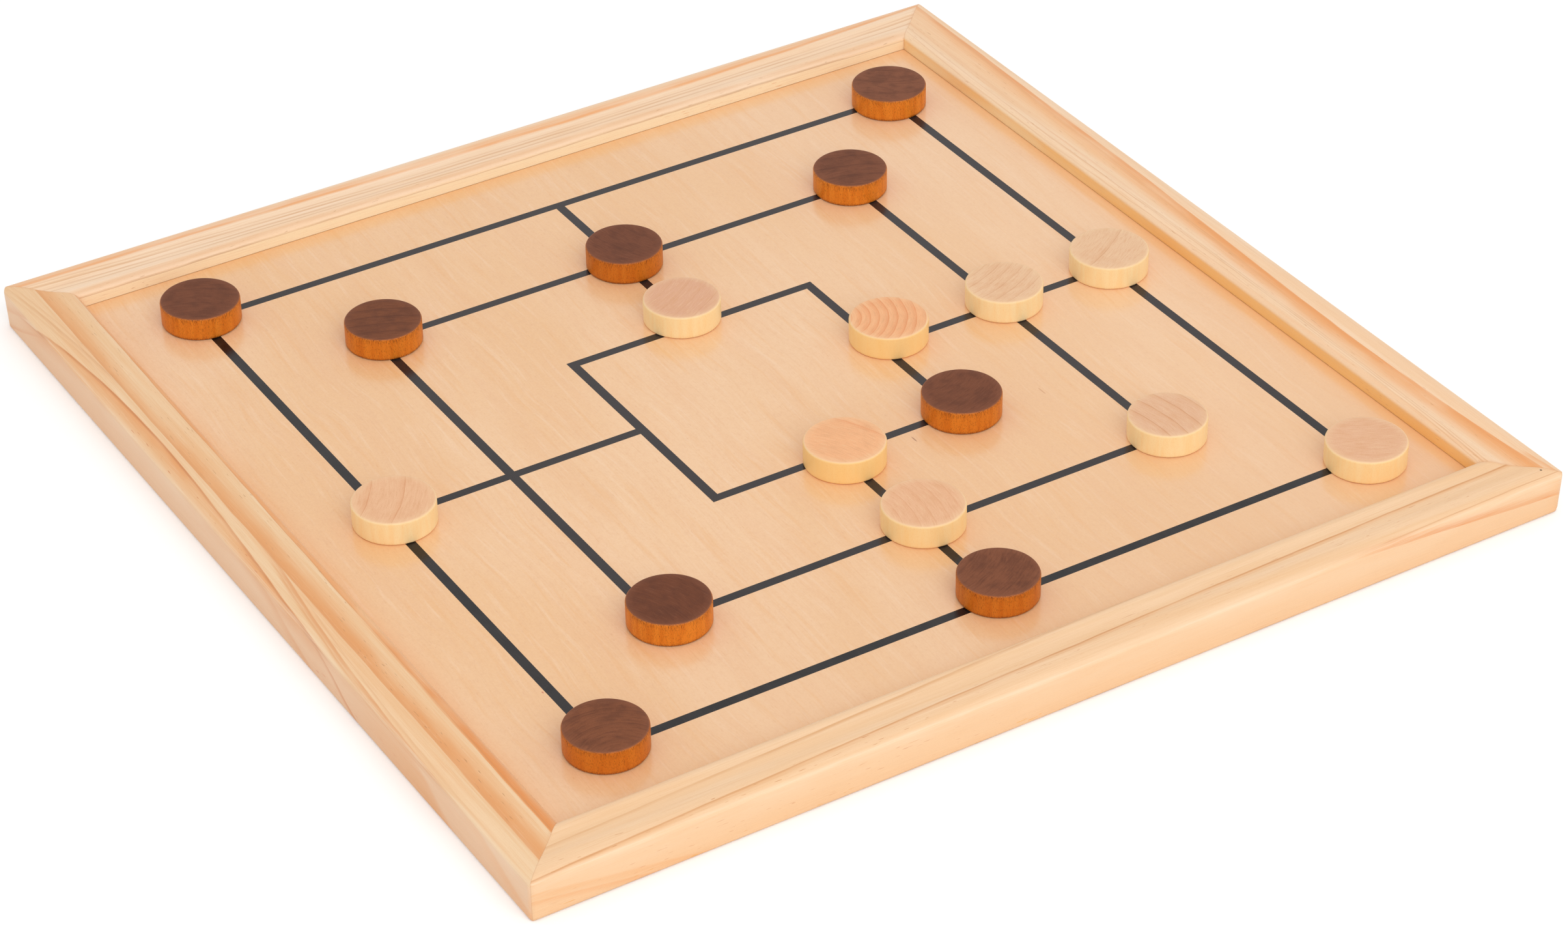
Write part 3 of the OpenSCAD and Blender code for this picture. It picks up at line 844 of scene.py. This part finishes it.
# %% The birch veneer
def birch(name):
    """Soft clouds, pale and orange flecks along Y, a painted light gradient, small marks, and by
    the walls a painted reflection and painted shade.
    """
    f = Finish(name)
    where = f.place_mm()
    x, y, _ = f.parts(where)
    turned = f.node("ShaderNodeVectorRotate", {"rotation_type": "Z_AXIS"}, {
        "Vector": where, "Angle": 0.03})
    sway = f.joined(f.clouds(turned, (0.02, 0.02, 0.02), 1.0) * 7.0, 0.0, 0.0)
    flowing = f.node("ShaderNodeVectorMath", {"operation": "ADD"}, {0: turned, 1: sway})
    cloud = f.clouds(turned, (0.016, 0.006, 0.02), 3.0, 0.55)
    mottle = f.clouds(turned, (0.5, 0.35, 0.5), 3.0, 0.6)
    dust = f.clouds(turned, (1.5, 1.0, 1.5), 2.0, 0.6)
    drift = f.clouds(flowing, (0.12, 0.012, 0.02), 3.0)
    fibre = f.clouds(flowing, (1.7, 0.05, 1.0), 4.0, 0.62)
    pale = f.fade(f.clouds(flowing, (0.6, 0.035, 2.0), 3.0, 0.6), 0.52, 0.74)
    warm = f.fade(f.clouds(flowing, (0.42, 0.022, 3.0), 3.0, 0.6), 0.5, 0.74)
    fleck = f.fade(f.clouds(flowing, (2.0, 0.3, 1.0), 1.0), 0.66, 0.78)
    colour = f.layers(f.blend(f.fade(cloud, 0.36, 0.64), (247, 206, 164), (243, 197, 148)), [
        (f.fade(drift, 0.44, 0.68) * 0.3, (240, 190, 144)),
        (f.fade(mottle, 0.45, 0.7) * 0.22, (234, 186, 144)),
        (f.fade(fibre, 0.5, 0.74) * 0.3, (230, 180, 134)),
        (warm * 0.45, (240, 184, 124)),
        (pale * 0.34, (252, 219, 186)),
        (fleck * 0.3, (222, 164, 116)),
        (f.fade(dust, 0.5, 0.7) * 0.14, (224, 172, 128)),
        (f.fade(dust, 0.5, 0.3) * 0.1, (254, 222, 188)),
        # Paler towards the right and darker towards the front: painted light and shade, as the
        # lamps' light falls over the panel.
        (f.fade(x, -40.0, 190.0) * 0.3, (251, 213, 178)),
        (f.fade(y, -60.0, -190.0) * 0.25, (226, 180, 138)),
    ])
    for mark_x, mark_y, long, shade in MARKS:
        reach = apart((x - mark_x) / MARK_WIDTH, (y - mark_y) / long)
        colour = f.blend(f.fade(reach, 1.0, 0.5) * 0.7, colour, shade)
    to_wall = HALF - RAIL_W - f.math("MAXIMUM", abs(x), abs(y))
    # By the walls: a warm band, a painted reflection of the orange walls in the varnish, and a
    # dark line at their foot, painted shade.
    colour = f.layers(colour, [
        (f.fade(to_wall, 10.5, -0.1) * 0.3, (244, 184, 118)),
        (f.fade(to_wall, 0.6, -0.2) * 0.55, (176, 116, 62)),
    ])
    # The varnish lays a white sheen over the wood, so the wood itself is deeper.
    colour = f.blend(1.0, colour, (255, 250, 243), how="MULTIPLY")
    rough = 0.15 + fibre * 0.12
    relief = fibre * 0.6 + mottle * 0.2 - fleck * 0.4
    return f.surface(colour, rough, relief, 0.1, 0.0001, IOR=1.5, Specular_IOR_Level=1.0)


def dress(node, material):
    """Gives a CAD node its finish through the slots of its object."""
    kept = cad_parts[node]
    if not kept.material_slots:
        kept.data.materials.append(material)
    for slot in kept.material_slots:
        slot.material = material


dress("playing_panel", birch("birch_veneer"))
lowest, highest = (np.round(corner, 4).tolist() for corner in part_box("playing_panel"))
print("panel from", lowest, "to", highest)

# %% [markdown]
# ## The printed lines
# The squares are screen printed in a dark grey ink that soaks into the veneer.
# The wood's fibres show through as faint streaks, and the ink is a little
# thinner in places, so it is never one flat grey.

# %% The ink
def line_ink(name):
    """Dark grey ink with the veneer's fibres faintly in it, and a painted reflection that lightens
    it towards the back right.
    """
    f = Finish(name)
    where = f.place_mm()
    x, y, _ = f.parts(where)
    fibre = f.clouds(where, (2.2, 0.12, 1.0), 4.0, 0.6)
    patch = f.clouds(where, (0.12, 0.12, 0.12), 3.0)
    speck = f.fade(f.clouds(where, (3.0, 1.2, 1.0), 1.0), 0.72, 0.8)
    # Lighter towards the back right: a painted reflection of the bright room.
    reflection_share = f.fade(f.math("MINIMUM", x, y), -155.0, -75.0)
    colour = f.layers(f.blend(reflection_share, (15, 7, 8), (43, 34, 34)), [
        (f.fade(patch, 0.35, 0.65) * 0.3, (50, 44, 42)),
        (f.fade(fibre, 0.5, 0.72) * 0.35, (56, 48, 43)),
        (speck * 0.35, (104, 86, 70)),
    ])
    rough = 0.16 + fibre * 0.14
    return f.surface(colour, rough, fibre, 0.12, 0.0001, IOR=1.5, Specular_IOR_Level=0.45)


dress("printed_lines", line_ink("line_ink"))
print("lines dressed")

# %% [markdown]
# ## The wedges in the mitres
# Under each corner a bent strip of steel is driven across the joint and keeps
# it closed. It only shows from below, with the grey sheen of rolled strip.

# %% The steel
def strip_steel(name):
    """Rolled steel: fine scratches along the strip, and duller spots."""
    f = Finish(name)
    where = f.place_mm()
    scratch = f.clouds(where, (1.2, 1.2, 9.0), 3.0)
    spot = f.clouds(where, (0.8, 0.8, 0.8), 3.0)
    colour = f.blend(f.fade(spot, 0.4, 0.7), (196, 198, 202), (150, 150, 152))
    return f.surface(colour, 0.28 + scratch * 0.3, scratch, 0.2, 0.0001, Metallic=1.0)


dress("mitre_wedges", strip_steel("wedge_steel"))
print("wedges dressed")

# %% [markdown]
# ## Light and floor
# The photograph was taken in a white room of light: soft from all sides, with
# a little more from the front. A white floor gives its own light back to the
# sides of the rails. For the camera the surroundings are plain white, and the
# floor keeps the board's soft shadow.

# %% The floor and the white surroundings
# In metres: half the floor's width, and a hair's gap under the board.
FLOOR_HALF, FLOOR_LEVEL = 12.0, -0.0002
# How white the floor is, its glow for the camera alone, and the room's light.
FLOOR_WHITE, FLOOR_GLOW, ROOM_LIGHT = 0.92, 0.2, 0.81


def floor_paint(name):
    """White, with a little glow for the camera alone, so that it reads as a white page."""
    f = Finish(name)
    for_camera = f.node("ShaderNodeLightPath", {}, {}, out=0)
    matt = f.node("ShaderNodeBsdfDiffuse", {}, {"Color": (*[FLOOR_WHITE] * 3, 1)})
    glow = f.node("ShaderNodeEmission", {}, {
        "Color": (1, 1, 1, 1), "Strength": for_camera * FLOOR_GLOW})
    return f.end(f.node("ShaderNodeAddShader", {}, {0: matt, 1: glow}))


floor_mesh = bpy.data.meshes.new("floor")
floor_corners = [(x * FLOOR_HALF, y * FLOOR_HALF, FLOOR_LEVEL)
                 for x, y in ((-1, -1), (1, -1), (1, 1), (-1, 1))]
floor_mesh.from_pydata(floor_corners, [], [(0, 1, 2, 3)])
floor_mesh.materials.append(floor_paint("floor_white"))
floor = bpy.data.objects.new("floor", floor_mesh)
bpy.context.scene.collection.objects.link(floor)

world = bpy.data.worlds.new("white_room")
bpy.context.scene.world = world
world.use_nodes = True
room = world.node_tree.nodes["Background"].inputs
room["Color"].default_value, room["Strength"].default_value = (1, 1, 1, 1), ROOM_LIGHT
print("floor and room ready, floor at", FLOOR_LEVEL)

# %% The lamps
def softbox(name, place, aim, size, power):
    """A square lamp that looks from its place at a point."""
    lamp = bpy.data.lights.new(name, "AREA")
    lamp.shape, lamp.size, lamp.energy = "SQUARE", size, power
    made = bpy.data.objects.new(name, lamp)
    back = np.subtract(place, aim)
    back /= np.linalg.norm(back)
    right = np.cross((0, 1, 0.001), back)
    right /= np.linalg.norm(right)
    made.matrix_world = posed(right, np.cross(back, right), back, place)
    bpy.context.scene.collection.objects.link(made)


softbox("key_softbox", place=(-0.208, -1.697, 1.384), aim=(0, 0, 0), size=1.6, power=15)

# %% [markdown]
# ## Finish
# The view transform is Standard, so that a colour renders about as written.

# %% Set the view transform
bpy.context.scene.view_settings.view_transform = "Standard"
